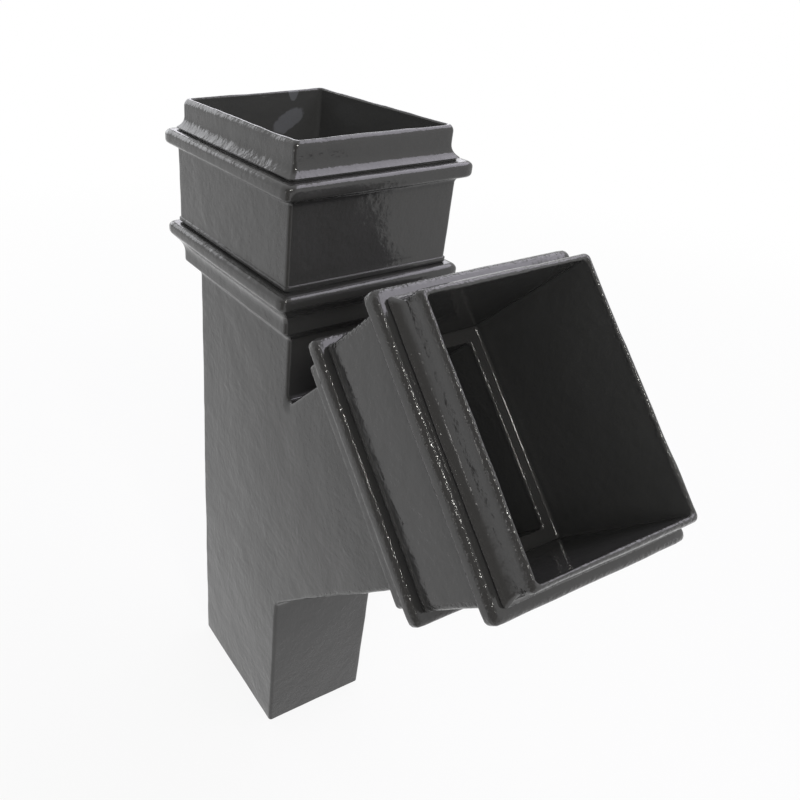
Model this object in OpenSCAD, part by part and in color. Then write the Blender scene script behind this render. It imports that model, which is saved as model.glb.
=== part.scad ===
// Single branch for a rectangular cast iron downpipe.
// The upright pipe ends in a plain spigot at the bottom and a moulded socket at the top.
// A branch of the same section leaves it at an angle and ends in a second, equal socket.
// Origin: centre of the spigot's end face. +Z runs up the pipe, +X is the branch side.

/* [Pipe] */
// Outside width of the pipe, along X
pipe_w = 109; // [90:1:140]
// Outside depth of the pipe, along Y
pipe_d = 81; // [65:1:110]
// Wall thickness of the pipe
wall = 4.5; // [3:0.25:6]
// Width taken off each outside corner of the pipe
corner_ease = 1.5; // [0.5:0.25:3]
// Width of the bevel in each inside corner of the bores
bore_ease = 3; // [1:0.5:6]

/* [Branch] */
// Angle between the branch and the upright pipe
branch_angle = 45; // [40:1:60]
// Straight pipe from the spigot end up to the underside of the branch
tail_len = 125; // [80:1:200]
// From the crotch up to the rim of the upright socket
neck_len = 141; // [115:1:220]
// From the crotch out to the rim of the branch socket, along the branch
arm_len = 145; // [115:1:220]
// Radius of the cast fillet in the crotch
crotch_r = 3; // [1:0.5:8]
// Radius of the cast fillet in the crease under the branch
crease_r = 3; // [1:0.5:8]
// Radius of the rounded edges inside, where the two bores meet
bore_edge_r = 2; // [0.5:0.5:4]

/* [Socket] */
// Depth of the socket, from its rim to the shoulder that the next pipe rests on
socket_depth = 76; // [50:1:90]
// Clear gap all round between the socket and the pipe that it takes
socket_gap = 2.75; // [1:0.25:3.25]
// Corner radius inside the socket
socket_r = 3; // [1:0.5:6]
// How far the band under the rim stands out from the face of the pipe
rim_out = 6; // [5.5:0.25:7]
// How far the edge of the rim curves in
rim_in = 1.5; // [0.5:0.1:1.8]
// Height of that curve
rim_curve_h = 4; // [2:0.25:6]
// How far the plain wall of the socket stands out from the face of the pipe
wall_out = 9; // [8:0.25:12]

/* [Upper moulding] */
// Height of the straight part of the band under the rim
band_h = 8.8; // [7:0.2:12]
// Height of the hollow flare below it
flare_h = 6.3; // [4:0.1:8]
// Height of the thin lip that ends the flare
lip_h = 0.5; // [0.4:0.1:1]
// How far the lip stands out from the plain wall
lip_out = 0.5; // [0.2:0.1:1]
// Height of the narrow groove above each bead
quirk_h = 0.8; // [0.4:0.1:1.5]
// Depth of both grooves, cut in from the plain wall
quirk_cut = 1; // [0.25:0.25:1.5]
// Radius of the upper edge of the bead
bead_r = 3; // [1.8:0.1:4]
// Radius of the lower edge of the bead
bead_foot_r = 2.4; // [1.5:0.1:3]
// Height of the flat face between the two edges
bead_face_h = 2.7; // [1.5:0.1:6]
// How far the bead stands out from the plain wall
bead_out = 5.8; // [5.2:0.1:6.5]
// Radius of the hollow that leads from the bead down to the plain wall
fillet_r = 3; // [2.5:0.25:5]

/* [Lower moulding] */
// Height of the lower bead's flat face above the shoulder that the next pipe rests on
base_bead_up = 1.4; // [1:0.2:6]
// Radius of the lower edge of the lower bead
base_bead_r = 4; // [3:0.25:5]
// Radius of its upper edge
base_crest_r = 3.1; // [2.4:0.1:3.8]
// Height of the flat face between the two edges
base_face_h = 1.9; // [1:0.1:4]
// How far the lower bead stands out from the plain wall
base_bead_out = 6; // [5.2:0.1:6.5]
// Height of the narrow flat step above the lower bead
listel_h = 2.4; // [1:0.2:3]
// How far that step stands out from the plain wall
listel_out = 0.7; // [0.3:0.1:1]
// Slope of the apron under the lower bead, from the pipe's axis
apron_angle = 45; // [35:1:55]
// Radius of the hollow that leads from the apron down to the skirt
apron_hollow_r = 10; // [6:0.5:14]
// How far the straight skirt stands out from the face of the pipe
skirt_out = 7.6; // [6:0.1:8.4]
// Height of the skirt
skirt_h = 5.5; // [3:0.5:12]
// Height of the splay that runs back into the pipe
splay_h = 6.8; // [5:0.2:14]

/* [Hidden] */
$fn = 96;
// Facets of the long shallow arcs, which have large radii
arc_facets = 240;
iron = [0.17, 0.17, 0.18];

// Every cut runs this far past the face that it opens
over = 2;
// How far the hollows run into what they lead down from
bite = 0.05;
bore_w = pipe_w - 2 * wall;
bore_d = pipe_d - 2 * wall;
socket_w = pipe_w + 2 * socket_gap;
socket_d = pipe_d + 2 * socket_gap;

// Where the faces of the branch cross the front face of the pipe
half_w = pipe_w / 2;
cross_z = tail_len + half_w * tan(branch_angle / 2);
crotch_run = half_w / tan(branch_angle / 2);
crotch_z = cross_z + crotch_run;
height = crotch_z + neck_len;
branch_len = crotch_run + arm_len;

// Depths below the rim, from the top of the socket down
flare_bottom = band_h + flare_h;
lip_bottom = flare_bottom + lip_h;
bead_crest = lip_bottom + quirk_h;
bead_top = bead_crest + bead_r;
bead_bottom = bead_top + bead_face_h;
base_bead_bottom = socket_depth - base_bead_up;
base_bead_top = base_bead_bottom - base_face_h;
base_crest = base_bead_top - base_crest_r;
listel_bottom = base_crest - quirk_h;
listel_top = listel_bottom - listel_h;

// The apron is a straight slope that touches the lower bead and ends in the hollow above the skirt
apron_down = sin(apron_angle);
apron_across = cos(apron_angle);
base_bead_centre = wall_out + base_bead_out - base_bead_r;
apron_top = base_bead_bottom + base_bead_r * apron_down;
apron_top_out = base_bead_centre + base_bead_r * apron_across;
apron_line = apron_top_out * apron_across + apron_top * apron_down;
hollow_out = skirt_out + apron_hollow_r;
hollow_depth = (apron_line + apron_hollow_r - bite - hollow_out * apron_across) / apron_down;
apron_bottom = hollow_depth - (apron_hollow_r - bite) * apron_down;
apron_bottom_out = hollow_out - (apron_hollow_r - bite) * apron_across;
skirt_bottom = hollow_depth + skirt_h;
splay_bottom = skirt_bottom + splay_h;

// Radii of the arcs that start along the wall and reach a given width and height
function arc_radius(across, along) = (across * across + along * along) / (2 * across);
rim_arc_r = arc_radius(rim_in, rim_curve_h);
flare_arc_r = arc_radius(wall_out + lip_out - rim_out, flare_h);

// The flat faces of the moulding, as pairs of distance from the pipe's face and depth.
// The flare and the hollow start as plain blocks, which arcs cut out to their true lines.
collar_steps = [
    [rim_out - rim_in, 0],
    [rim_out - rim_in, rim_curve_h],
    [rim_out, rim_curve_h],
    [rim_out, band_h],
    [wall_out + over, band_h],
    [wall_out + over, flare_bottom],
    [wall_out + lip_out, flare_bottom],
    [wall_out + lip_out, lip_bottom],
    [wall_out - quirk_cut, lip_bottom],
    [wall_out - quirk_cut, bead_crest],
    [wall_out + bead_out - bead_r, bead_crest],
    [wall_out + bead_out - bead_r, bead_top],
    [wall_out + bead_out, bead_top],
    [wall_out + bead_out, bead_bottom],
    [wall_out, bead_bottom],
    [wall_out, listel_top],
    [wall_out + listel_out, listel_top],
    [wall_out + listel_out, listel_bottom],
    [wall_out - quirk_cut, listel_bottom],
    [wall_out - quirk_cut, base_crest],
    [wall_out + base_bead_out - base_crest_r, base_crest],
    [wall_out + base_bead_out - base_crest_r, base_bead_top],
    [wall_out + base_bead_out, base_bead_top],
    [wall_out + base_bead_out, base_bead_bottom],
    [apron_top_out, apron_top],
    [apron_bottom_out, apron_bottom],
    [apron_bottom_out, hollow_depth],
    [skirt_out, hollow_depth],
    [skirt_out, skirt_bottom],
    [0, splay_bottom]
];

// A rectangle with its corners taken off at 45 degrees
module eased_rect(w, d, ease) {
    polygon([
        for (x = [-1, 1])
            each [
                [x * (w / 2 - ease), x * d / 2],
                [x * w / 2, x * (d / 2 - ease)],
                [x * w / 2, -x * (d / 2 - ease)],
                [x * (w / 2 - ease), -x * d / 2]
            ]
    ]);
}

// A rectangle with round corners
module rounded_rect(w, d, r) {
    square([w - 2 * r, d], center = true);
    square([w, d - 2 * r], center = true);
    for (x = [-1, 1], y = [-1, 1])
        translate([x * (w / 2 - r), y * (d / 2 - r)])
            circle(r = r);
}

// The hollow that joins the upper bead to the wall. It runs a little way into the bead.
module bead_hollow(half) {
    centre_out = wall_out + fillet_r;
    reach = bead_foot_r + fillet_r - bite;
    run = bead_out - bead_foot_r - fillet_r;
    centre_depth = bead_bottom + sqrt(reach * reach - run * run);
    difference() {
        polygon([
            [half, -bead_bottom],
            [half + wall_out + bead_out - bead_foot_r, -bead_bottom],
            [half + centre_out, -centre_depth],
            [half, -centre_depth]
        ]);
        translate([half + centre_out, -centre_depth])
            circle(r = fillet_r);
    }
}

// A round edge whose far side stands a given distance out from the plain wall
module round_edge(half, out, depth, r) {
    translate([half + wall_out + out - r, -depth])
        circle(r = r);
}

// The curved edge of the rim
module rim_curve(half) {
    intersection() {
        translate([half + rim_out - rim_arc_r, -rim_curve_h])
            circle(r = rim_arc_r, $fn = arc_facets);
        translate([half, -rim_curve_h])
            square([rim_out + over, rim_curve_h]);
    }
}

// The round parts of the moulding on one side
module collar_rounds(half) {
    rim_curve(half);
    round_edge(half, bead_out, bead_top, bead_r);
    round_edge(half, bead_out, bead_bottom, bead_foot_r);
    bead_hollow(half);
    round_edge(half, base_bead_out, base_bead_top, base_crest_r);
    round_edge(half, base_bead_out, base_bead_bottom, base_bead_r);
}

// The whole outline of the socket seen square on, with its rim along y = 0
module collar_outline(half) {
    right = [for (s = collar_steps) [half + s[0], -s[1]]];
    left = [for (i = [len(right) - 1 : -1 : 0]) [-right[i][0], right[i][1]]];
    difference() {
        polygon(concat(right, left));
        for (side = [0, 1])
            mirror([side, 0]) {
                translate([half + rim_out + flare_arc_r, -band_h])
                    circle(r = flare_arc_r, $fn = arc_facets);
                translate([half + hollow_out, -hollow_depth])
                    circle(r = apron_hollow_r, $fn = arc_facets);
            }
    }
    for (side = [0, 1])
        mirror([side, 0])
            collar_rounds(half);
}

// Two outlines crossed at right angles give the mouldings their mitred corners
module collar() {
    reach = pipe_w + pipe_d;
    intersection() {
        rotate([90, 0, 0])
            linear_extrude(reach, center = true)
                collar_outline(pipe_w / 2);
        rotate([90, 0, 90])
            linear_extrude(reach, center = true)
                collar_outline(pipe_d / 2);
    }
}

// A straight run of pipe with its socket, solid inside, the rim at the far end
module outside(length) {
    linear_extrude(length - socket_depth)
        eased_rect(pipe_w, pipe_d, corner_ease);
    translate([0, 0, length])
        collar();
}

// The way through such a run: the bore, and the wider socket at its end
module waterway(length, start) {
    translate([0, 0, start])
        linear_extrude(length - start - socket_depth + over)
            eased_rect(bore_w, bore_d, bore_ease);
    translate([0, 0, length - socket_depth])
        linear_extrude(socket_depth + over)
            rounded_rect(socket_w, socket_d, socket_r);
}

// Places its children on the centre line of the branch
module on_branch() {
    translate([0, 0, cross_z])
        rotate([0, branch_angle, 0])
            children();
}

// Keeps only what lies on the branch side of the upright centre line
module branch_side() {
    reach = 2 * (height + branch_len);
    intersection() {
        children();
        translate([0, -reach / 2, -reach / 2])
            cube(reach);
    }
}

// Fills the corner between the upright face of a pipe and the face of the branch that leaves it,
// with a hollow radius, across the given depth. up is 1 above the branch and -1 below it.
module hollow_corner(x, z, up, r, depth) {
    wedge = up > 0 ? branch_angle : 180 - branch_angle;
    tangent = r / tan(wedge / 2);
    rotate([90, 0, 0])
        linear_extrude(depth, center = true)
            translate([x, z])
                difference() {
                    polygon([
                        [-over, -up * over],
                        [-over, up * tangent],
                        [0, up * tangent],
                        [r, up * tangent],
                        [tangent * sin(branch_angle), tangent * cos(branch_angle)],
                        [up > 0 ? over : 0, -up * over]
                    ]);
                    translate([r, up * tangent])
                        circle(r = r);
                }
}

// Rounds both corners where pipes of a given width cross: the crotch above and the crease below
module crossing_corners(w, depth, above_r, below_r) {
    half = w / 2;
    hollow_corner(half, cross_z + half / tan(branch_angle / 2), 1, above_r, depth);
    hollow_corner(half, cross_z - half * tan(branch_angle / 2), -1, below_r, depth);
}

module branch_casting() {
    color(iron)
        difference() {
            union() {
                outside(height);
                branch_side()
                    on_branch()
                        outside(branch_len);
                crossing_corners(pipe_w, pipe_d - 2 * corner_ease, crotch_r, crease_r);
            }
            waterway(height, -over);
            branch_side()
                on_branch()
                    waterway(branch_len, 0);
            crossing_corners(bore_w, bore_d - 2 * bore_ease, bore_edge_r, bore_edge_r);
        }
}

branch_casting();
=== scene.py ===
"""Looks of a downpipe branch: one iron casting under thick gloss black paint.

The casting is one closed mesh. Rings of points follow the mouldings of both sockets, and flat webs of
points join the two pipes at the branch. Every point is then moved onto the surface that casting() gives,
which holds the waves and lumps of the casting. The grain of sand and paint is bump.
All sizes are in millimetres until the mesh is made.
"""

import math

import bmesh
import bpy
import numpy as np
from mathutils import Matrix, Vector
from mathutils.geometry import delaunay_2d_cdt


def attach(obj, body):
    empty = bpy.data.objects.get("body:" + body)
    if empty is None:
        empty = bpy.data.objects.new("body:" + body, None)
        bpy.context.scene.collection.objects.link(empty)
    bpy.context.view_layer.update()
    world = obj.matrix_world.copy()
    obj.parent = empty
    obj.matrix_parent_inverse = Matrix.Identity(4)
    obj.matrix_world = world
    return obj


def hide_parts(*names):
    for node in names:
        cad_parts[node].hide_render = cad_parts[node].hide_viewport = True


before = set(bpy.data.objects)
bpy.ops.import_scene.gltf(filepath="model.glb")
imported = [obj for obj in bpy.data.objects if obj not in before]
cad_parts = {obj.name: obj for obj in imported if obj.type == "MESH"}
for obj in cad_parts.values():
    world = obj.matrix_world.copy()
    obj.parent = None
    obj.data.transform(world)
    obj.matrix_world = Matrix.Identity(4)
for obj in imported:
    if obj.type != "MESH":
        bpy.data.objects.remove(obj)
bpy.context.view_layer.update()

MM = 0.001

# Driving sizes, the same as the CAD part's
PIPE_W = 109.0
PIPE_D = 81.0
WALL = 4.5
BRANCH_ANGLE = math.radians(45)
TAIL_LEN = 125.0
NECK_LEN = 141.0
ARM_LEN = 145.0
SOCKET_DEPTH = 76.0
SOCKET_GAP = 2.75
RIM_OUT = 6.0
RIM_IN = 1.5
RIM_CURVE_H = 4.0
WALL_OUT = 9.0
BAND_H = 8.8
FLARE_H = 6.3
LIP_H = 0.5
LIP_OUT = 0.5
QUIRK_H = 0.8
BEAD_R = 3.0
BEAD_FOOT_R = 2.4
BEAD_FACE_H = 2.7
BEAD_OUT = 5.8
FILLET_R = 3.0
BASE_BEAD_UP = 1.4
BASE_BEAD_R = 4.0
BASE_CREST_R = 3.1
BASE_FACE_H = 1.9
BASE_BEAD_OUT = 6.0
LISTEL_H = 2.4
LISTEL_OUT = 0.7
APRON_ANGLE = math.radians(45)
APRON_HOLLOW_R = 10.0
SKIRT_OUT = 7.6
SKIRT_H = 5.5
SPLAY_H = 6.8

# Sizes that follow from them
HALF_W = PIPE_W / 2
HALF_D = PIPE_D / 2
CROSS_Z = TAIL_LEN + HALF_W * math.tan(BRANCH_ANGLE / 2)
CROTCH_RUN = HALF_W / math.tan(BRANCH_ANGLE / 2)
HEIGHT = CROSS_Z + CROTCH_RUN + NECK_LEN
BRANCH_LEN = CROTCH_RUN + ARM_LEN
SIN = math.sin(BRANCH_ANGLE)
COS = math.cos(BRANCH_ANGLE)

# Roundings that paint and moulding sand leave
CORNER_R = 2.2
CORNER_R_RISE = 0.25
RIM_R = 1.1
RIM_EDGE_R = 1.4
CREASE_R = 3.0
CROTCH_R = 6.3
SHOULDER_R = 1.5
SPLAY_R = 4.0
SKIRT_R = 2.0
GROOVE_R = 0.3
GROOVE_END_R = 0.25
LISTEL_R = 0.4
LISTEL_TOP_R = 0.5
LIP_FOOT_R = 0.2
LIP_TOP_R = 0.3

# How far the grooves beside both beads are sunk into the wall
GROOVE_IN = 0.7

# Waves of the casting, and lumps that only the mouths of the sockets have: height, size and seed
WAVES = ((0.35, 62, 11), (0.16, 21, 12), (0.07, 9, 13))
MOUTH_LUMPS = ((0.3, 26, 14), (0.12, 11, 15))

# Depth below the mouth at which those lumps have faded out
LUMPS_DEPTH = 9.0

# How many slopes the noise chooses from, and what brings its waves to about 1
NOISE_TABLE = 256
NOISE_GAIN = 1.6

# Where the rings of points end and the web between the pipes begins
CUT_DEPTH = 108.0
LOW_Z = 112.0

# How far the parts of casting() reach: the collar past its rings, and the plane that cuts off each mouth
COLLAR_OVERLAP = 4.0
MOUTH_REACH = 10.0

# How far from a shoulder the paler black of the inner faces, which is painted light, is seen in full
SHOULDER_FADE = 3.0

# How closely the points lie: lengths in millimetres, turns in radians
SPACING = 3.0
LONG_STEPS = 37
SHORT_STEPS = 28
ARC_STEPS = 5
ARC_TURN = 0.2
ARC_CHORD = 0.24
LEAST_TURN = 0.01
LEAST_RUN = 0.02
MERGE_DISTANCE = 0.01

# How the web is filled: its corner at the crotch, the gap inside its border, and triangles within it only
WEB_CROTCH_R = 3.0
WEB_CLEARANCE = SPACING * 0.6
WEB_TOLERANCE = 0.00001
WITHIN_BORDER = 1

# How the points are moved onto the surface: rounds, longest move, and the steps that measure slope and bend
FIT_ROUNDS = 4
LONGEST_MOVE = 1.5
SLOPE_STEP = 0.06
BEND_STEP = 0.9


# Outlines


def leaning_arc(across, along):
    """Radius of an arc that starts along the wall and leans over, and how far along its tangents cross"""
    radius = (across * across + along * along) / (2 * across)
    return radius, radius * math.tan(math.asin(along / radius) / 2)


def collar_profile():
    """The outside of a socket from the plain pipe up to the rim: each corner's distance, depth and radius"""
    lip_top = BAND_H + FLARE_H
    lip_bottom = lip_top + LIP_H
    bead_crest = lip_bottom + QUIRK_H
    bead_bottom = bead_crest + BEAD_R + BEAD_FACE_H
    bead_far = WALL_OUT + BEAD_OUT
    base_bottom = SOCKET_DEPTH - BASE_BEAD_UP
    base_far = WALL_OUT + BASE_BEAD_OUT
    base_crest = base_bottom - BASE_FACE_H - BASE_CREST_R
    listel_bottom = base_crest - QUIRK_H
    listel_top = listel_bottom - LISTEL_H
    rim_r, rim_run = leaning_arc(RIM_IN, RIM_CURVE_H)
    flare_r, flare_run = leaning_arc(WALL_OUT + LIP_OUT - RIM_OUT, FLARE_H)
    lean = math.asin((FILLET_R + BEAD_FOOT_R - BEAD_OUT) / (BEAD_FOOT_R + FILLET_R))
    touch_out = bead_far - BEAD_FOOT_R * (1 - math.sin(lean))
    touch_depth = bead_bottom + BEAD_FOOT_R * math.cos(lean)
    apron_cos = math.cos(APRON_ANGLE)
    apron_sin = math.sin(APRON_ANGLE)
    apron_line = (base_far - BASE_BEAD_R) * apron_cos + base_bottom * apron_sin + BASE_BEAD_R

    def apron_depth(out):
        return (apron_line - out * apron_cos) / apron_sin

    skirt_bottom = apron_depth(SKIRT_OUT) + APRON_HOLLOW_R * math.tan(APRON_ANGLE / 2) + SKIRT_H
    return [
        (0, CUT_DEPTH, 0),
        (0, skirt_bottom + SPLAY_H, SPLAY_R),
        (SKIRT_OUT, skirt_bottom, SKIRT_R),
        (SKIRT_OUT, apron_depth(SKIRT_OUT), APRON_HOLLOW_R),
        (base_far, apron_depth(base_far), BASE_BEAD_R),
        (base_far, base_crest, BASE_CREST_R),
        (WALL_OUT - GROOVE_IN, base_crest, GROOVE_R),
        (WALL_OUT - GROOVE_IN, listel_bottom, GROOVE_END_R),
        (WALL_OUT + LISTEL_OUT, listel_bottom, LISTEL_R),
        (WALL_OUT + LISTEL_OUT, listel_top, LISTEL_R),
        (WALL_OUT, listel_top, LISTEL_TOP_R),
        (WALL_OUT, touch_depth + (touch_out - WALL_OUT) * math.tan(lean), FILLET_R),
        (bead_far, touch_depth - (bead_far - touch_out) * math.tan(lean), BEAD_FOOT_R),
        (bead_far, bead_crest, BEAD_R),
        (WALL_OUT - GROOVE_IN, bead_crest, GROOVE_R),
        (WALL_OUT - GROOVE_IN, lip_bottom, GROOVE_END_R),
        (WALL_OUT + LIP_OUT, lip_bottom, LIP_FOOT_R),
        (WALL_OUT + LIP_OUT, lip_top, LIP_TOP_R),
        (RIM_OUT, BAND_H + flare_run, flare_r),
        (RIM_OUT, RIM_CURVE_H - rim_run, rim_r),
        (RIM_OUT - RIM_IN, 0, RIM_EDGE_R),
    ]


def socket_profile():
    """The inside of a socket from the rim down to the bore"""
    return [
        (SOCKET_GAP, 0, RIM_R),
        (SOCKET_GAP, SOCKET_DEPTH, SHOULDER_R),
        (-WALL, SOCKET_DEPTH, RIM_R),
        (-WALL, CUT_DEPTH, 0),
    ]


def rounded_path(corners):
    """Points along a path of straight runs, with an arc of the given radius at each inner corner"""
    spots = np.array([c[:2] for c in corners], float)
    runs = np.diff(spots, axis=0)
    lengths = np.linalg.norm(runs, axis=1)
    runs /= lengths[:, None]
    turns = np.concatenate([[0], np.arccos(np.clip((runs[:-1] * runs[1:]).sum(axis=1), -1, 1)), [0]])
    reach = np.array([c[2] for c in corners]) * np.tan(turns / 2)
    for i, length in enumerate(lengths):
        small, large = sorted((i, i + 1), key=lambda k: reach[k])
        least = length / 2 if reach[small] > length / 2 else 0
        reach[large] = max(min(reach[large], length - reach[small]), least)
        reach[small] = min(reach[small], length / 2)
    points = [spots[0]]
    for i in range(1, len(spots) - 1):
        if turns[i] < LEAST_TURN:
            points.append(spots[i])
            continue
        radius = reach[i] / math.tan(turns[i] / 2)
        side = math.copysign(1, runs[i - 1, 0] * runs[i, 1] - runs[i - 1, 1] * runs[i, 0])
        start = spots[i] - runs[i - 1] * reach[i]
        spoke = np.array([runs[i - 1, 1], -runs[i - 1, 0]]) * side * radius
        sweep = turns[i] * radius
        steps = max(2, math.ceil(min(turns[i] / ARC_TURN, sweep / ARC_CHORD)), math.ceil(sweep / SPACING))
        for a in side * turns[i] * np.arange(steps + 1) / steps:
            cos_a = math.cos(a)
            sin_a = math.sin(a)
            swung = (spoke[0] * cos_a - spoke[1] * sin_a, spoke[0] * sin_a + spoke[1] * cos_a)
            points.append(start - spoke + swung)
    points.append(spots[-1])
    dense = [points[0]]
    for p in points[1:]:
        start = dense[-1]
        run = np.linalg.norm(p - start)
        if run < LEAST_RUN:
            continue
        steps = math.ceil(run / SPACING)
        dense += [start + (p - start) * k / steps for k in range(1, steps + 1)]
    return np.array(dense)


# Distances, negative inside the iron


def mitred(a, b, radius):
    """The greater of two offsets with a rounded corner, rounder where the mouldings stand out"""
    radius = radius + CORNER_R_RISE * np.clip(np.maximum(a, b) - WALL_OUT, 0, BASE_BEAD_OUT)
    gap = np.minimum(np.abs(a - b), radius)
    rounded = (a + b + 2 * radius - np.sqrt(2 * radius * radius - gap * gap)) / 2
    return np.where(gap < radius, rounded, np.maximum(a, b))


def joined(a, b, radius):
    """Union of two solids with a hollow rounding where they meet"""
    rounding = np.hypot(np.maximum(radius - a, 0), np.maximum(radius - b, 0))
    return np.maximum(radius, np.minimum(a, b)) - rounding


def common(a, b, radius):
    """What two solids share, with a rounded edge"""
    rounding = np.hypot(np.maximum(radius + a, 0), np.maximum(radius + b, 0))
    return np.minimum(-radius, np.maximum(a, b)) + rounding


class Outline:
    """Signed distance to the outline of a socket, kept on a grid of distance from the pipe and depth"""

    STEP = 0.15
    OUT = (-12.0, 24.0)
    DEPTH = (-8.0, 112.0)
    # Two corners far inside the pipe close the outline
    FAR_IN = -60
    FAR_DOWN = 200
    # Keeps a point just short of the last line of the grid
    SHORT_OF_END = 1.001

    def __init__(self, path):
        closed = np.vstack([path, [[self.FAR_IN, 0], [self.FAR_IN, self.FAR_DOWN], [0, self.FAR_DOWN]]])
        out = np.arange(self.OUT[0], self.OUT[1], self.STEP)
        depth = np.arange(self.DEPTH[0], self.DEPTH[1], self.STEP)
        u, d = np.meshgrid(out, depth, indexing="ij")
        nearest = np.full(u.shape, np.inf)
        inside = np.zeros(u.shape, bool)
        for (u0, d0), (u1, d1) in zip(closed, np.roll(closed, -1, axis=0)):
            du, dd = u1 - u0, d1 - d0
            t = np.clip(((u - u0) * du + (d - d0) * dd) / (du * du + dd * dd), 0, 1)
            nearest = np.minimum(nearest, (u - u0 - t * du) ** 2 + (d - d0 - t * dd) ** 2)
            if d0 != d1:
                inside ^= ((d0 > d) != (d1 > d)) & (u < u0 + (d - d0) * du / dd)
        self.grid = np.where(inside, -1, 1) * np.sqrt(nearest)

    def __call__(self, u, d):
        size = self.grid.shape
        a = np.clip((u - self.OUT[0]) / self.STEP, 0, size[0] - self.SHORT_OF_END)
        b = np.clip((d - self.DEPTH[0]) / self.STEP, 0, size[1] - self.SHORT_OF_END)
        i = a.astype(int)
        j = b.astype(int)
        a -= i
        b -= j
        g = self.grid
        upper = g[i, j] * (1 - a) + g[i + 1, j] * a
        lower = g[i, j + 1] * (1 - a) + g[i + 1, j + 1] * a
        near = upper * (1 - b) + lower * b
        beyond = u - np.clip(u, self.OUT[0], self.OUT[1])
        above = np.maximum(self.DEPTH[0] - d, 0)
        return near + beyond + above


outline = Outline(rounded_path(collar_profile() + [(SOCKET_GAP, 0, 0)]))


def noise(points, size, seed):
    """Smooth random waves between about -1 and 1, with features of the given size"""
    rng = np.random.default_rng(seed)
    slopes = rng.normal(size=(NOISE_TABLE, 3))
    slopes /= np.linalg.norm(slopes, axis=1)[:, None]
    order = rng.permutation(NOISE_TABLE)
    q = points / size
    cell = np.floor(q).astype(int)
    f = q - cell
    fade = f ** 3 * (f * (f * 6 - 15) + 10)
    total = np.zeros(len(points))
    for corner in np.ndindex(2, 2, 2):
        c = np.array(corner)
        key = order[(cell[:, 0] + c[0]) % NOISE_TABLE]
        key = order[(key + cell[:, 1] + c[1]) % NOISE_TABLE]
        key = order[(key + cell[:, 2] + c[2]) % NOISE_TABLE]
        weight = np.prod(np.where(c == 1, fade, 1 - fade), axis=1)
        total += weight * ((f - c) * slopes[key]).sum(axis=1)
    return total * NOISE_GAIN


def layered(points, layers):
    """The sum of layers of noise"""
    return sum(height * noise(points, size, seed) for height, size, seed in layers)


def relief(points, rim):
    """How far the iron stands out from its true shape: rim is 1 at the mouth of a socket and 0 elsewhere"""
    return layered(points, WAVES) + rim * layered(points, MOUTH_LUMPS)


def branch_frame(x, z):
    """Distance across and along the branch of a point in the plane of both pipes"""
    return x * COS - (z - CROSS_Z) * SIN, x * SIN + (z - CROSS_Z) * COS


def both_pipes(x, z, inset):
    """Offset from the outline of the two crossing pipes, seen from the side"""
    across, _ = branch_frame(x, z)
    upright = np.abs(x) - HALF_W + inset
    branch = np.maximum(np.abs(across) - HALF_W + inset, -x)
    return joined(upright, branch, np.where(z > CROSS_Z, CROTCH_R, CREASE_R))


def walls(p):
    """Offsets of each point from the outer and the inner faces of the casting, and how near a rim it is"""
    x, y, z = p.T
    across, along = branch_frame(x, z)
    solid = mitred(both_pipes(x, z, 0), np.abs(y) - HALF_D, CORNER_R)
    hollow = mitred(both_pipes(x, z, WALL), np.abs(y) - HALF_D + WALL, CORNER_R)
    rim = 0
    for side, depth in ((np.abs(x), HEIGHT - z), (np.abs(across), BRANCH_LEN - along)):
        rim = np.maximum(rim, np.clip(1 - depth / LUMPS_DEPTH, 0, 1))
        out = mitred(side - HALF_W, np.abs(y) - HALF_D, CORNER_R)
        collar = np.maximum(outline(out, depth), depth - CUT_DEPTH - COLLAR_OVERLAP)
        solid = np.minimum(solid, collar)
        socket = common(out - SOCKET_GAP, depth - SOCKET_DEPTH, SHOULDER_R)
        hollow = joined(hollow, socket, RIM_R)
        solid = np.maximum(solid, np.where(depth < MOUTH_REACH, -depth, -MOUTH_REACH))
    return common(solid, -z, RIM_R), hollow, rim


def casting(p):
    """Distance of each point from the surface of the casting"""
    solid, hollow, rim = walls(p)
    return common(solid, -hollow, RIM_R) - relief(p, rim)


# Mask of painted light: a paler black on the inner faces, but not on the shoulders, which the lamps light
def inside(p):
    """1 on the inner faces of the casting, and 0 on the outer ones and the shoulders"""
    solid, hollow, _ = walls(p)
    _, along = branch_frame(p[:, 0], p[:, 2])
    in_upright = p[:, 0] < HALF_W + SOCKET_GAP + WALL
    below_shoulder = np.where(in_upright, HEIGHT - p[:, 2], BRANCH_LEN - along) - SOCKET_DEPTH
    off_shoulder = np.clip(np.abs(below_shoulder) / SHOULDER_FADE, 0, 1)
    return np.clip(0.5 - (solid + hollow) / WALL, 0, 1) * off_shoulder


def slope(p):
    """Direction and rate at which casting() grows at each point"""
    result = np.empty_like(p)
    for axis, shift in enumerate(np.eye(3) * SLOPE_STEP):
        result[:, axis] = (casting(p + shift) - casting(p - shift)) / (2 * SLOPE_STEP)
    return result


def edges(p):
    """How sharply the surface turns outwards at each point: 0 on flats and in hollows, and up to 1"""
    bend = -6 * casting(p)
    for shift in np.eye(3) * BEND_STEP:
        bend += casting(p + shift) + casting(p - shift)
    return np.clip(bend / (BEND_STEP * BEND_STEP), 0, 1)


# Mesh


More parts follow.
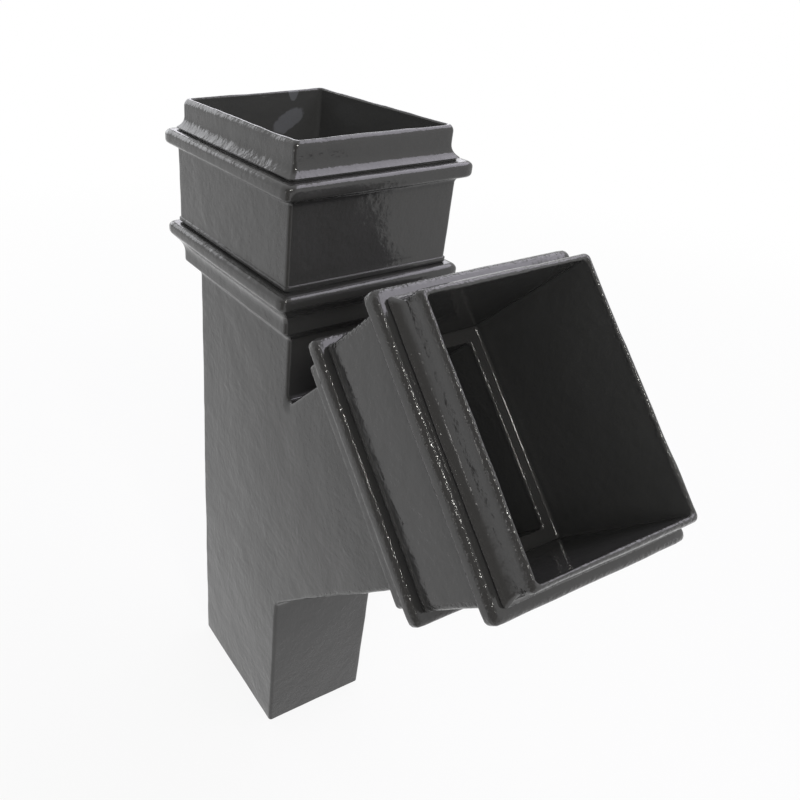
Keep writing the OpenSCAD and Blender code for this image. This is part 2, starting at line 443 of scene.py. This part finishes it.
def ring(out):
    """Points round a pipe at a given distance from its faces, anticlockwise from the start of its +X face"""
    w = HALF_W + out - CORNER_R
    d = HALF_D + out - CORNER_R
    points = []
    sides = (
        ((w + CORNER_R, -d), (w + CORNER_R, d), SHORT_STEPS),
        ((w, d + CORNER_R), (-w, d + CORNER_R), LONG_STEPS),
        ((-w - CORNER_R, d), (-w - CORNER_R, -d), SHORT_STEPS),
        ((-w, -d - CORNER_R), (w, -d - CORNER_R), LONG_STEPS),
    )
    centres = ((w, d), (-w, d), (-w, -d), (w, -d))
    for quarter, ((start, end, steps), centre) in enumerate(zip(sides, centres)):
        for i in range(steps):
            t = i / steps
            points.append((start[0] + (end[0] - start[0]) * t, start[1] + (end[1] - start[1]) * t))
        for i in range(ARC_STEPS):
            a = math.pi / 2 * (quarter + i / ARC_STEPS)
            points.append((centre[0] + CORNER_R * math.cos(a), centre[1] + CORNER_R * math.sin(a)))
    return np.array(points)


class Shell:
    """Collects the points and faces of the casting"""

    def __init__(self):
        self.points = []
        self.faces = []

    def add(self, points, faces):
        first = sum(len(p) for p in self.points)
        self.points.append(np.asarray(points, float))
        self.faces += [[i + first for i in face] for face in faces]

    def add_grid(self, grid, wrap):
        rows, columns = grid.shape[:2]
        index = np.arange(rows * columns).reshape(rows, columns)
        after = np.roll(index, -1, axis=1) if wrap else index[:, 1:]
        here = index if wrap else index[:, :-1]
        faces = np.stack([here[:-1], after[:-1], after[1:], here[1:]], axis=-1).reshape(-1, 4)
        self.add(grid.reshape(-1, 3), faces.tolist())


def tube(path):
    """A stack of rings: one for each pair of distance from the pipe and height along it"""
    return np.array([np.column_stack([ring(out), np.full(len(ring(out)), along)]) for out, along in path])


def on_branch(points):
    """Moves points from the branch's own frame to their place"""
    x, y, z = points[..., 0], points[..., 1], points[..., 2]
    return np.stack([x * COS + z * SIN, y, CROSS_Z + z * COS - x * SIN], axis=-1)


def branch_point(across, along):
    """The place, in the plane of both pipes, of a point across and along the branch"""
    return across * COS + along * SIN, CROSS_Z + along * COS - across * SIN


def add_band(shell, path, out):
    """The faces that run across the depth of the pipes along a path seen from the side"""
    path = np.asarray(path)
    run = np.gradient(path, axis=0)
    normal = np.column_stack([run[:, 1], -run[:, 0]])
    normal /= np.linalg.norm(normal, axis=1)[:, None]
    d = HALF_D + out
    angles = np.linspace(0, math.pi / 2, ARC_STEPS + 1)[:-1]
    inset = CORNER_R * (1 - np.sin(angles))
    edge_y = d - CORNER_R * (1 - np.cos(angles))
    flat_y = np.linspace(d - CORNER_R, -d + CORNER_R, SHORT_STEPS + 1)
    inset = np.concatenate([inset, np.zeros(len(flat_y)), inset[::-1]])
    y = np.concatenate([edge_y, flat_y, -edge_y[::-1]])
    grid = np.empty((len(path), len(y), 3))
    grid[..., 0] = path[:, None, 0] - normal[:, None, 0] * inset
    grid[..., 1] = y
    grid[..., 2] = path[:, None, 1] - normal[:, None, 1] * inset
    shell.add_grid(grid, wrap=False)
    return path - normal * CORNER_R


def add_web(shell, out):
    """The plain walls where the two pipes cross, at a given distance from the outside faces"""
    w = HALF_W + out
    high = HEIGHT - CUT_DEPTH
    far = BRANCH_LEN - CUT_DEPTH
    crease_z = CROSS_Z - w * math.tan(BRANCH_ANGLE / 2)
    crotch_z = CROSS_Z + w / math.tan(BRANCH_ANGLE / 2)
    under = rounded_path([(w, LOW_Z, 0), (w, crease_z, CREASE_R), (*branch_point(w, far), 0)])
    over = rounded_path([(*branch_point(-w, far), 0), (w, crotch_z, WEB_CROTCH_R), (w, high, 0)])
    back = rounded_path([(-w, high, 0), (-w, (high + LOW_Z) / 2, 0), (-w, LOW_Z, 0)])
    hems = [add_band(shell, path, out) for path in (under, over, back)]
    t = np.linspace(0, 1, LONG_STEPS + 1)[1:-1, None]
    border = []
    for hem, following in zip(hems, (hems[1], hems[2], hems[0])):
        border += [hem, hem[-1] + (following[0] - hem[-1]) * t]
    border = np.vstack(border)
    gx, gz = np.meshgrid(np.arange(-w, branch_point(w, far)[0], SPACING), np.arange(LOW_Z, high, SPACING))
    gx, gz = gx.ravel(), gz.ravel()
    keep = both_pipes(gx, gz, -out) < -CORNER_R - WEB_CLEARANCE
    keep &= (gz > LOW_Z + WEB_CLEARANCE) & ((gz < high - WEB_CLEARANCE) | (gx > w))
    keep &= branch_frame(gx, gz)[1] < far - WEB_CLEARANCE
    cloud = np.vstack([border, np.column_stack([gx, gz])[keep]])
    ring_of_border = list(range(len(border)))
    cloud = [Vector(p) for p in cloud]
    made = delaunay_2d_cdt(cloud, [], [ring_of_border], WITHIN_BORDER, WEB_TOLERANCE)
    flat = np.array([tuple(v) for v in made[0]])
    for side in (-1, 1):
        points = np.column_stack([flat[:, 0], np.full(len(flat), side * (HALF_D + out)), flat[:, 1]])
        shell.add(points, [list(face) for face in made[2]])


def rough_mesh():
    """One closed mesh whose points lie near the surface of the casting"""
    shell = Shell()
    collar = rounded_path(collar_profile() + socket_profile())
    upright = tube([(u, HEIGHT - d) for u, d in collar])
    shell.add_grid(upright, wrap=True)
    branch = tube([(u, BRANCH_LEN - d) for u, d in collar])
    shell.add_grid(on_branch(branch), wrap=True)
    spigot = rounded_path([(0, LOW_Z, 0), (0, 0, RIM_R), (-WALL, 0, RIM_R), (-WALL, LOW_Z, 0)])
    shell.add_grid(tube(spigot), wrap=True)
    add_web(shell, 0)
    add_web(shell, -WALL)
    mesh = bpy.data.meshes.new("painted_casting")
    mesh.from_pydata(np.vstack(shell.points).tolist(), [], shell.faces)
    bm = bmesh.new()
    bm.from_mesh(mesh)
    bmesh.ops.remove_doubles(bm, verts=bm.verts, dist=MERGE_DISTANCE)
    bmesh.ops.recalc_face_normals(bm, faces=bm.faces)
    bm.to_mesh(mesh)
    bm.free()
    return mesh


def fitted(p):
    """The points moved onto the surface of the casting, and none of them under the floor"""
    for _ in range(FIT_ROUNDS):
        n = slope(p)
        step = casting(p) / (n * n).sum(axis=1)
        p = p - n * np.clip(step, -LONGEST_MOVE, LONGEST_MOVE)[:, None]
    p[:, 2] = np.maximum(p[:, 2], 0)
    return p


def make_casting():
    mesh = rough_mesh()
    p = np.empty(len(mesh.vertices) * 3)
    mesh.vertices.foreach_get("co", p)
    p = fitted(p.reshape(-1, 3))
    n = slope(p)
    n /= np.linalg.norm(n, axis=1)[:, None]
    mesh.vertices.foreach_set("co", (p * MM).ravel())
    mesh.update()
    mesh.normals_split_custom_set_from_vertices(n.tolist())
    # The inside attribute masks the paler black that is painted light on the inner faces
    for name, values in (("edge", edges(p)), ("inside", inside(p))):
        mesh.attributes.new(name, "FLOAT", "POINT").data.foreach_set("value", values)
    piece = bpy.data.objects.new("painted_casting", mesh)
    bpy.context.scene.collection.objects.link(piece)
    return piece


# Materials

WHITE = (1, 1, 1, 1)
OUTSIDE_BLACK = (0.033, 0.0325, 0.032, 1)
# Painted light: this paler black on the inner faces stands in for light reaching into the sockets
INSIDE_BLACK_PAINTED_LIGHT = (0.053, 0.053, 0.052, 1)
# Grey of a painted reflection and of a chip in the upright socket
REFLECTION_CHIP_GREY = (0.105, 0.107, 0.113, 1)

# Pale spots near the rim of the upright socket: middle, half sizes and tilt
REFLECTION_CHIP_SPOTS = (
    # A painted reflection on the inner face of the back wall
    ((-57.2, 21.0, 403.4), (3, 12, 5.4), math.radians(27)),
    # A chip in the paint at the rim
    ((-57.0, 24.0, 419.0), (4, 3.5, 4.5), 0),
)
REFLECTION_CHIP_EDGE = (0.85, 1.05)
RAGGED_NOISE = (5, 2.0)
RAGGED_SHARE = 0.6

# Layers of the grain: size and detail of the noise, and height of the relief
PEEL_NOISE = (4.2, 1.0)
PEEL_HEIGHT = 0.16
SAND_NOISE = (1.6, 3.0)
SAND_HEIGHT = 0.085
STROKE_NOISE = (2.4, 2.0)
STROKE_STRETCH = (1, 1, 0.14)
STROKE_HEIGHT = 0.03
WRINKLE_NOISE = (8, 2.0)
WRINKLE_STRETCH = (1, 1, 1.5)
WRINKLE_WARP = 0.6
WRINKLE_HEIGHT = 0.2
PATCH_NOISE = (55, 1.0)
PATCH_EDGE = (0.0, 0.12)

# Lumps on the beads of the branch's socket, and on all sharp corners, where they are higher on that socket.
# Each kind grows over a range of what edges() gives
BRANCH_SOCKET_X = (75 * MM, 95 * MM)
BEAD_BEND = (0.27, 0.32)
BEAD_NOISE = (1.9, 2.0)
BEAD_HEIGHT = 0.45
CORNER_BEND = (0.36, 0.8)
CORNER_NOISE = (3.2, 1.0)
CORNER_HEIGHT = 0.1
CORNER_HEIGHT_MORE = 0.18

# Roughness of the paint, and what its dull patches add
ROUGHNESS = 0.1
DULL_NOISE = (18, 3.0)
DULL_EDGE = (-0.05, 0.2)
DULL_MORE = 0.06


def new_material(name):
    material = bpy.data.materials.new(name)
    material.use_nodes = True
    return material, material.node_tree, material.node_tree.nodes["Principled BSDF"]


class Nodes:
    """Short names for the shader nodes that the paint and the room are built from"""

    def __init__(self, tree, place):
        self.tree = tree
        self.place = tree.nodes.new("ShaderNodeTexCoord").outputs[place]

    def link(self, value, socket):
        """Gives a socket the output of another node, or a plain value"""
        if isinstance(value, bpy.types.NodeSocket):
            self.tree.links.new(value, socket)
        else:
            socket.default_value = value

    def add(self, kind, *values):
        """A new node whose first sockets have the given values"""
        node = self.tree.nodes.new("ShaderNode" + kind)
        for value, socket in zip(values, node.inputs):
            self.link(value, socket)
        return node

    def math(self, operation, result, *others):
        """The values combined two by two, from left to right"""
        for other in others:
            node = self.add("Math", result, other)
            node.operation = operation
            result = node.outputs[0]
        return result

    def distance(self, vector):
        """Distance of a point from the origin"""
        node = self.add("VectorMath", vector)
        node.operation = "LENGTH"
        return node.outputs["Value"]

    def stretched(self, scale):
        return self.add("Mapping", self.place, (0, 0, 0), (0, 0, 0), scale).outputs[0]

    def noise(self, size, detail, place=None, warp=0.0):
        """Noise between -0.5 and 0.5, with features of the given size in millimetres"""
        node = self.add("TexNoise", place or self.place)
        node.inputs["Scale"].default_value = 1 / (size * MM)
        node.inputs["Detail"].default_value = detail
        node.inputs["Distortion"].default_value = warp
        return self.math("SUBTRACT", node.outputs["Fac"], 0.5)

    def attribute(self, name):
        node = self.add("Attribute")
        node.attribute_name = name
        return node.outputs["Fac"]

    def between(self, value, low, high):
        """0 below low and 1 above high"""
        node = self.add("MapRange", value, low, high)
        node.interpolation_type = "SMOOTHSTEP"
        return node.outputs["Result"]

    def oval(self, middle, half_size, tilt):
        """1 inside a ragged oval and 0 outside it: sizes are in millimetres and the tilt is about X"""
        place = [v * MM for v in middle]
        scale = [v * MM for v in half_size]
        node = self.add("Mapping", self.place, place, (tilt, 0, 0), scale)
        node.vector_type = "TEXTURE"
        uneven = self.math("MULTIPLY", self.noise(*RAGGED_NOISE), RAGGED_SHARE)
        ragged = self.math("ADD", self.distance(node.outputs[0]), uneven)
        return self.math("SUBTRACT", 1, self.between(ragged, *REFLECTION_CHIP_EDGE))

    def mixed(self, kind, share, first, second):
        """first where share is 0 and second where it is 1: kind is MixRGB or MixShader"""
        return self.add(kind, share, first, second).outputs[0]


def paint_relief(n):
    """Height of the grain and lumps of the paint, in millimetres"""
    peel = n.math("MULTIPLY", n.noise(*PEEL_NOISE), PEEL_HEIGHT)
    sand = n.math("MULTIPLY", n.noise(*SAND_NOISE), SAND_HEIGHT)
    strokes = n.math("MULTIPLY", n.noise(*STROKE_NOISE, n.stretched(STROKE_STRETCH)), STROKE_HEIGHT)
    patches = n.between(n.noise(*PATCH_NOISE), *PATCH_EDGE)
    wrinkles = n.noise(*WRINKLE_NOISE, n.stretched(WRINKLE_STRETCH), WRINKLE_WARP)
    wrinkles = n.math("MULTIPLY", wrinkles, patches, WRINKLE_HEIGHT)
    edge = n.attribute("edge")
    x = n.add("SeparateXYZ", n.place).outputs["X"]
    on_branch_socket = n.between(x, *BRANCH_SOCKET_X)
    beads = n.between(edge, *BEAD_BEND)
    beads = n.math("MULTIPLY", beads, on_branch_socket, n.noise(*BEAD_NOISE), BEAD_HEIGHT)
    corner_height = n.math("ADD", n.math("MULTIPLY", on_branch_socket, CORNER_HEIGHT_MORE), CORNER_HEIGHT)
    corners = n.math("MULTIPLY", n.between(edge, *CORNER_BEND), n.noise(*CORNER_NOISE), corner_height)
    return n.math("ADD", peel, sand, strokes, wrinkles, n.math("ADD", beads, corners))


def paint_material():
    """Gloss black paint brushed over a sand casting"""
    material, tree, shader = new_material("gloss_black_paint")
    n = Nodes(tree, "Object")
    bump = n.add("Bump")
    bump.inputs["Distance"].default_value = MM
    n.link(paint_relief(n), bump.inputs["Height"])
    n.link(bump.outputs["Normal"], shader.inputs["Normal"])
    # The paler black of the inner faces is painted light
    black = n.mixed("MixRGB", n.attribute("inside"), OUTSIDE_BLACK, INSIDE_BLACK_PAINTED_LIGHT)
    # A painted reflection and a chip, in a paler grey
    reflection_chip = n.math("MAXIMUM", *[n.oval(*pale_spot) for pale_spot in REFLECTION_CHIP_SPOTS])
    n.link(n.mixed("MixRGB", reflection_chip, black, REFLECTION_CHIP_GREY), shader.inputs["Base Color"])
    dull = n.math("MULTIPLY", n.between(n.noise(*DULL_NOISE), *DULL_EDGE), DULL_MORE)
    n.link(n.math("ADD", dull, ROUGHNESS), shader.inputs["Roughness"])
    return material


# Studio: sizes and places are in metres

FLOOR_HALF = 4
FLOOR_GREY = (0.75, 0.75, 0.75, 1)
FLOOR_ROUGHNESS = 0.8
WORLD_LIGHT = 0.45

# How white the camera and the gloss see the floor: this much up to the first distance, and 1 at the second
FLOOR_WHITE = 0.88
FLOOR_NEAR = 0.4
FLOOR_FAR = 1.6

# The unlit side of the room, which the gloss shows in the edges that face it: its direction, and the cosines
# of the angles from it at which the dark begins and is full
DARK_SIDE = Vector((0.64, -0.64, 0.42))
DARK_FROM = 0.29
DARK_FULL = 0.93
DARK_COLOR = (0.17, 0.155, 0.14, 1)

# The white sheet under the object ends towards that side: direction, cosines and distances
SHEET_SIDE = Vector((0.64, -0.77, 0))
SHEET_SIDE_FROM = 0.75
SHEET_SIDE_FULL = 0.95
SHEET_FROM = 0.35
SHEET_END = 0.55

LAMP_AIM = Vector((0.05, 0, 0.25))
# Name, direction, distance, size, brightness (a white floor has 1), colour, and whether the gloss shows it
LAMPS = (
    ("key", (0.70, -0.11, 0.70), 1.2, (0.12, 0.12), 80, (1, 0.98, 0.93), True),
    ("window", (0.107, 0.606, 0.788), 1.3, (1.45, 0.66), 3.2, (0.91, 0.87, 1), True),
    ("back", (-0.785, 0.453, 0.423), 1.3, (0.9, 0.5), 2.2, (0.93, 0.91, 1), True),
    ("panel", (-0.937, -0.165, 0.309), 1.3, (0.75, 0.7), 1.9, (0.95, 0.96, 1), True),
    ("side", (0.1, -1.0, 0.1), 1.2, (0.1, 0.1), 9, (1, 0.98, 0.95), True),
    ("fill", (0.73, -0.45, 0.56), 1.5, (0.8, 0.8), 4.5, (1, 1, 1), False),
)

# The camera fitted to the photograph: pixels of an 800 pixel frame, degrees, and millimetres for its place
FRAME = 800
FOCAL = 753.26
AZIMUTH = math.radians(61.55)
ELEVATION = math.radians(33.92)
ROLL = math.radians(0.84)
SIDEWAYS = -33.14
UPWARDS = 7.25
DISTANCE = 518.32
CENTRE_X = 242.82
CENTRE_Y = 444.33
TARGET = Vector((0, 0, 200))

# Width of the camera's sensor in millimetres, and its nearest and farthest sight in metres
SENSOR_WIDTH = 36
CLIP_START = 0.01
CLIP_END = 100


def add_camera():
    back = Vector((
        math.sin(AZIMUTH) * math.cos(ELEVATION),
        -math.cos(AZIMUTH) * math.cos(ELEVATION),
        math.sin(ELEVATION),
    ))
    level = Vector((math.cos(AZIMUTH), math.sin(AZIMUTH), 0))
    rise = back.cross(level)
    right = math.cos(ROLL) * level + math.sin(ROLL) * rise
    up = -math.sin(ROLL) * level + math.cos(ROLL) * rise
    place = (TARGET + SIDEWAYS * right + UPWARDS * up + DISTANCE * back) * MM
    lens = bpy.data.cameras.new("camera")
    lens.sensor_width = SENSOR_WIDTH
    lens.lens = FOCAL / FRAME * SENSOR_WIDTH
    lens.shift_x = (FRAME / 2 - CENTRE_X) / FRAME
    lens.shift_y = (CENTRE_Y - FRAME / 2) / FRAME
    lens.clip_start = CLIP_START
    lens.clip_end = CLIP_END
    camera = bpy.data.objects.new("camera", lens)
    camera.matrix_world = Matrix.Translation(place) @ Matrix((right, up, back)).transposed().to_4x4()
    bpy.context.scene.collection.objects.link(camera)
    bpy.context.scene.camera = camera


def seen_white(n, share):
    """A factor that is share for what the camera and the gloss see, and 0 for the light on the object"""
    path = n.add("LightPath")
    rays = [path.outputs[f"Is {kind} Ray"] for kind in ("Camera", "Glossy", "Transmission")]
    return n.math("MULTIPLY", n.math("MAXIMUM", *rays), share)


def towards(n, direction, low, high):
    """0 to 1 as the place, seen from the origin, comes close to a direction: low and high are cosines"""
    unit = n.add("VectorMath", n.place)
    unit.operation = "NORMALIZE"
    facing = n.add("VectorMath", unit.outputs[0], direction.normalized())
    facing.operation = "DOT_PRODUCT"
    return n.between(facing.outputs["Value"], low, high)


def room_color(n, dark):
    """White, but darker where the gloss sees the unlit side"""
    camera_ray = n.add("LightPath").outputs["Is Camera Ray"]
    dark_seen = n.math("MULTIPLY", dark, n.math("SUBTRACT", 1, camera_ray))
    return n.mixed("MixRGB", dark_seen, WHITE, DARK_COLOR)


def add_floor():
    mesh = bpy.data.meshes.new("floor")
    corners = ((-1, -1), (1, -1), (1, 1), (-1, 1))
    mesh.from_pydata([(x * FLOOR_HALF, y * FLOOR_HALF, 0) for x, y in corners], [], [(0, 1, 2, 3)])
    floor = bpy.data.objects.new("floor", mesh)
    bpy.context.scene.collection.objects.link(floor)
    material, tree, shader = new_material("pale_floor")
    shader.inputs["Base Color"].default_value = FLOOR_GREY
    shader.inputs["Roughness"].default_value = FLOOR_ROUGHNESS
    n = Nodes(tree, "Object")
    away = n.distance(n.place)
    far = n.between(away, FLOOR_NEAR, FLOOR_FAR)
    off_sheet = n.between(away, SHEET_FROM, SHEET_END)
    dark = n.math("MULTIPLY", off_sheet, towards(n, SHEET_SIDE, SHEET_SIDE_FROM, SHEET_SIDE_FULL))
    white = n.add("Emission", room_color(n, dark))
    share = n.math("ADD", FLOOR_WHITE, n.math("MULTIPLY", far, 1 - FLOOR_WHITE))
    surface = n.mixed("MixShader", seen_white(n, share), shader.outputs[0], white.outputs[0])
    n.link(surface, tree.nodes["Material Output"].inputs["Surface"])
    mesh.materials.append(material)


def add_world():
    world = bpy.data.worlds.new("studio")
    world.use_nodes = True
    bpy.context.scene.world = world
    tree = world.node_tree
    soft = tree.nodes["Background"]
    soft.inputs["Color"].default_value = WHITE
    soft.inputs["Strength"].default_value = WORLD_LIGHT
    n = Nodes(tree, "Generated")
    seen = n.add("Background", room_color(n, towards(n, DARK_SIDE, DARK_FROM, DARK_FULL)), 1)
    surface = n.mixed("MixShader", seen_white(n, 1.0), soft.outputs[0], seen.outputs[0])
    n.link(surface, tree.nodes["World Output"].inputs["Surface"])


def add_lamp(name, direction, distance, size, brightness, color, in_gloss):
    """An oval lamp that faces the middle of the object"""
    lamp = bpy.data.lights.new(name, "AREA")
    lamp.shape = "ELLIPSE"
    lamp.size, lamp.size_y = size
    area = math.pi * size[0] * size[1] / 4
    lamp.energy = brightness * math.pi * area
    lamp.color = color
    holder = bpy.data.objects.new(name, lamp)
    holder.visible_glossy = in_gloss
    toward = Vector(direction).normalized()
    holder.location = LAMP_AIM + toward * distance
    holder.rotation_mode = "QUATERNION"
    holder.rotation_quaternion = (-toward).to_track_quat("-Z", "Y")
    bpy.context.scene.collection.objects.link(holder)


bpy.context.scene.view_settings.view_transform = "Standard"
add_camera()
add_floor()
add_world()
painted = make_casting()
painted.data.materials.append(paint_material())
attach(painted, "root")
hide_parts("branch_casting")
for lamp in LAMPS:
    add_lamp(*lamp)
